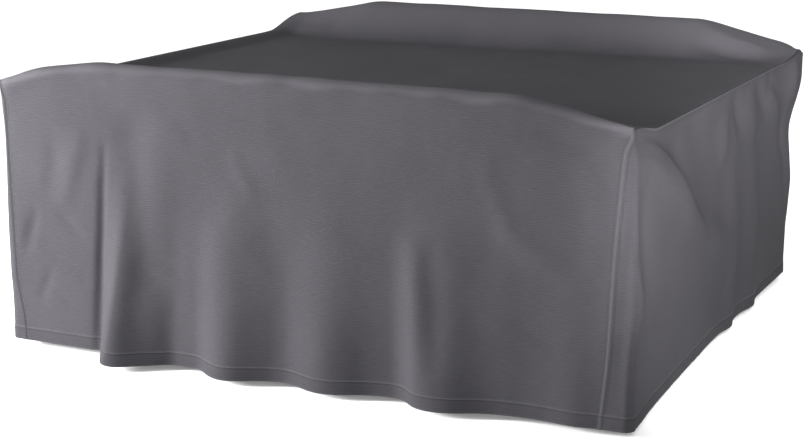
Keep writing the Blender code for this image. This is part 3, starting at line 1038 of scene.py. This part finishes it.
# Across is X, and along is height.
FRONT_DRAGS = (
    # Wrinkles to the left of the steep crease, and one above it.
    Drag(((-0.694, 0.680), (-0.731, 0.546), (-0.770, 0.420)), 0.030, 0.005),
    Drag(((-0.790, 0.660), (-0.800, 0.540), (-0.830, 0.430)), 0.030, -0.004),
    Drag(((-0.790, 0.410), (-0.741, 0.366), (-0.700, 0.335)), 0.014, -0.0035),
    Drag(((-0.865, 0.420), (-0.892, 0.340), (-0.915, 0.270)), 0.018, -0.006),
    Drag(((-0.815, 0.235), (-0.845, 0.179), (-0.870, 0.130)), 0.014, -0.004),
    Drag(((-0.950, 0.760), (-0.800, 0.800), (-0.600, 0.810)), 0.022, -0.003),
    # The steep crease.
    Drag(
        path=((-0.668, -0.250), (-0.658, 0.100), (-0.644, 0.300), (-0.630, 0.480), (-0.616, 0.640)),
        width=0.014,
        depth=-0.011,
    ),
    # What sharpens or softens the flanks of the flutes, from left to right.
    Drag(((-0.490, 0.000), (-0.480, 0.300), (-0.510, 0.480), (-0.530, 0.740)), 0.062, -0.019),
    Drag(((-0.450, -0.150), (-0.450, 0.080), (-0.450, 0.240)), 0.045, 0.009),
    Drag(((-0.255, -0.200), (-0.255, 0.100), (-0.250, 0.450)), 0.050, 0.006),
    Drag(((-0.085, -0.200), (-0.085, 0.100), (-0.080, 0.380)), 0.050, 0.008),
    Drag(((0.300, -0.200), (0.300, 0.100), (0.290, 0.420)), 0.040, -0.006),
    Drag(((0.390, -0.060), (0.384, 0.250), (0.362, 0.460)), 0.036, 0.016),
    Drag(((0.440, 0.080), (0.430, 0.250), (0.410, 0.460)), 0.040, -0.006),
    Drag(((0.610, -0.200), (0.600, 0.100), (0.600, 0.400)), 0.060, 0.008),
    # Small wrinkles, and the long drag down towards the right-hand corner.
    Drag(((-0.470, 0.300), (-0.421, 0.263), (-0.365, 0.230)), 0.013, 0.003),
    Drag(((-0.420, 0.780), (-0.350, 0.700), (-0.300, 0.640)), 0.024, -0.0015),
    Drag(((-0.200, 0.640), (-0.150, 0.560), (-0.110, 0.500)), 0.020, 0.003),
    Drag(
        path=((0.549, 0.690), (0.592, 0.580), (0.640, 0.480), (0.731, 0.430), (0.862, 0.337)),
        width=0.032,
        depth=0.005,
    ),
    Drag(((0.540, 0.255), (0.604, 0.236), (0.652, 0.223), (0.720, 0.200)), 0.010, 0.0025),
    Drag(((0.850, 0.700), (0.870, 0.600), (0.880, 0.500), (0.860, 0.400)), 0.035, 0.004),
    Drag(((0.700, 0.760), (0.800, 0.735), (0.900, 0.720)), 0.025, -0.004),
)

# Across is X, and along is Y.
TOP_DRAGS = (
    Drag(((0.560, -0.560), (0.685, -0.600), (0.784, -0.660), (0.900, -0.740)), 0.030, -0.005),
    Drag(((0.620, -0.480), (0.760, -0.520), (0.900, -0.600)), 0.035, 0.005),
    Drag(((0.640, 0.830), (0.760, 0.800), (0.900, 0.780)), 0.030, -0.008),
    Drag(((0.640, 0.900), (0.780, 0.880), (0.930, 0.860)), 0.030, 0.006),
    Drag(((-0.930, 0.820), (-0.850, 0.800), (-0.760, 0.820)), 0.035, 0.006),
    Drag(((-0.900, -0.600), (-0.700, -0.500), (-0.500, -0.450)), 0.040, 0.004),
)

# Across is X, and along is height.
BACK_DRAGS = (
    Drag(((-0.920, 0.740), (-0.780, 0.600), (-0.700, 0.450)), 0.050, 0.007),
    Drag(((0.900, 0.720), (0.760, 0.580), (0.700, 0.420)), 0.050, 0.007),
    Drag(((-0.100, 0.700), (-0.060, 0.560), (0.000, 0.440)), 0.040, -0.005),
)


def crest_wobble(x, lane):
    """How uneven a band along a crest is at each place, each band in its own lane of the noise."""
    wobble = [noise.noise((place / CREST_WOBBLE_SIZE, *lane)) for place in x]
    return 1 + CREST_WOBBLE * np.array(wobble)


def crest_bulge(grid):
    """How far the cloth bulges just below the front crest's roll."""
    below = read(CRESTS["front"], grid[..., 0]) - grid[..., 2] - CREST_BULGE_BELOW
    along = crest_wobble(grid[0, :, 0], CREST_BULGE_LANE)
    return CREST_BULGE * along * np.exp(-((below / CREST_BULGE_WIDTH) ** 2))


def painted_crest_highlight(face, grid):
    """Painted highlight: the cloth is paler in a band along a crest, with a soft lower edge."""
    x = grid[..., 0]
    inward = FACE_SIGN[face] * (crest_y(face, x) - grid[..., 1])
    below = read(CRESTS[face], x) - grid[..., 2]
    edge = CREST_HIGHLIGHT_DOWN * crest_wobble(x[0], CREST_HIGHLIGHT_LANE)
    outside = 1 - ramp(below, CREST_HIGHLIGHT_EDGE[0] * edge, CREST_HIGHLIGHT_EDGE[1] * edge)
    inside = 1 - ramp(inward, 0.0, CREST_HIGHLIGHT_IN[face])
    return np.where(inward > 0, inside, outside)


front = slice(0, len(UP) + roll_rows)
over = slice(len(UP), -len(UP))
rear = slice(-len(UP), None)
lift = uneven(length)
lift[front] += drag_out(FRONT_DRAGS, length[front, :, 0], length[front, :, 2])
lift[front] += crest_bulge(length[front])
lift[over] += drag_out(TOP_DRAGS, length[over, :, 0], length[over, :, 1])
lift[rear] += drag_out(BACK_DRAGS, length[rear, :, 0], length[rear, :, 2])

from_left = lengths_along(length, 1)
from_right = from_left[:, -1:] - from_left
seam_fields = [seam_outs[side][:, None] for side in ("left", "right")]
seam_out = near_rims((from_left, from_right), seam_fields)
from_front = lengths_along(length, 0)
from_hem = np.minimum(from_front, from_front[-1:] - from_front)
from_seam = np.minimum(from_left, from_right)
at_left = from_left < from_right
raised = np.where(at_left, seam_raised("left", from_hem), seam_raised("right", from_hem))
points = laid(length, length_out, seam_out, lift, from_seam, raised, from_hem)

last = len(points)
hems = [*range(hem_rows), *range(last - hem_rows, last)]
# Painted highlight on the seams, the hem and along the crests, and painted shade in the hem and by
# the seams.
painted_highlight = painted_edge_highlight(from_seam, raised, from_hem)
for face, rows in (("front", slice(0, -len(UP))), ("back", slice(len(UP), None))):
    painted_highlight[rows] = np.maximum(painted_highlight[rows], painted_crest_highlight(face, length[rows]))
shaded = shaded_edges(from_seam, raised, from_hem)
main = sew("main_cloth", points, painted_highlight, shaded, hems, cloth)
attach(main, "root")
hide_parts("main_length")
beside_seam = SEAM_STEPS.index(SEAM_STITCHED_AT)
lines = [(points[row], length_out[row]) for row in (stitched_row, last - 1 - stitched_row)]
lines += [(points[:, column], length_out[:, column]) for column in (beside_seam, -1 - beside_seam)]
stitches = stitching("main_stitching", lines)


# The room: a plain white floor just under the hem, in soft light from all round. The key light
# stands to the left of the front. Two weak ones at the right light the low part of the right-hand
# end and its back edge.

FLOOR_DROP = 0.018
FLOOR_HALF = 40.0
FLOOR_WHITE = (0.92, 0.92, 0.92, 1.0)
FLOOR_ROUGHNESS = 0.9
FLOOR_GLOW = 0.20
SKY_STRENGTH = 1.0

Light = namedtuple("Light", "name place aim size spread power")
LIGHTS = (
    Light(
        name="key", place=(-3.35, -2.75, 0.30), aim=(0.0, -0.9, -0.1),
        size=0.9, spread=180, power=640.0,
    ),
    Light(
        name="side", place=(1.50, -1.50, 0.00), aim=(1.15, 0.2, -0.3),
        size=0.3, spread=80, power=15.0,
    ),
    Light(
        name="edge", place=(1.90, -2.60, 0.40), aim=(1.00, 0.65, 0.03),
        size=0.3, spread=20, power=5.5,
    ),
)

ground = bmesh.new()
bmesh.ops.create_grid(ground, x_segments=1, y_segments=1, size=FLOOR_HALF)
floor_mesh = bpy.data.meshes.new("floor")
ground.to_mesh(floor_mesh)
ground.free()
floor = bpy.data.objects.new("floor", floor_mesh)
floor.location = (0.0, 0.0, -FLAT_HEIGHT - HEM_DIP - FLOOR_DROP)
paint = bpy.data.materials.new("floor_paint")
paint.use_nodes = True
paint_shader = paint.node_tree.nodes["Principled BSDF"]
paint_shader.inputs["Base Color"].default_value = FLOOR_WHITE
paint_shader.inputs["Roughness"].default_value = FLOOR_ROUGHNESS
paint_shader.inputs["Specular IOR Level"].default_value = 0.0
paint_shader.inputs["Emission Color"].default_value = (1.0, 1.0, 1.0, 1.0)
paint_shader.inputs["Emission Strength"].default_value = FLOOR_GLOW
floor_mesh.materials.append(paint)
bpy.context.scene.collection.objects.link(floor)

for row in LIGHTS:
    lamp_data = bpy.data.lights.new(row.name, "AREA")
    lamp_data.shape = "DISK"
    lamp_data.size = row.size
    lamp_data.spread = math.radians(row.spread)
    lamp_data.energy = row.power
    lamp = bpy.data.objects.new(row.name, lamp_data)
    lamp.location = row.place
    aim = Vector(row.aim) - Vector(row.place)
    lamp.rotation_euler = aim.to_track_quat("-Z", "Y").to_euler()
    bpy.context.scene.collection.objects.link(lamp)

world = bpy.data.worlds.new("world")
world.use_nodes = True
world.node_tree.nodes["Background"].inputs["Color"].default_value = (1.0, 1.0, 1.0, 1.0)
world.node_tree.nodes["Background"].inputs["Strength"].default_value = SKY_STRENGTH
bpy.context.scene.world = world
bpy.context.scene.view_settings.view_transform = "Standard"
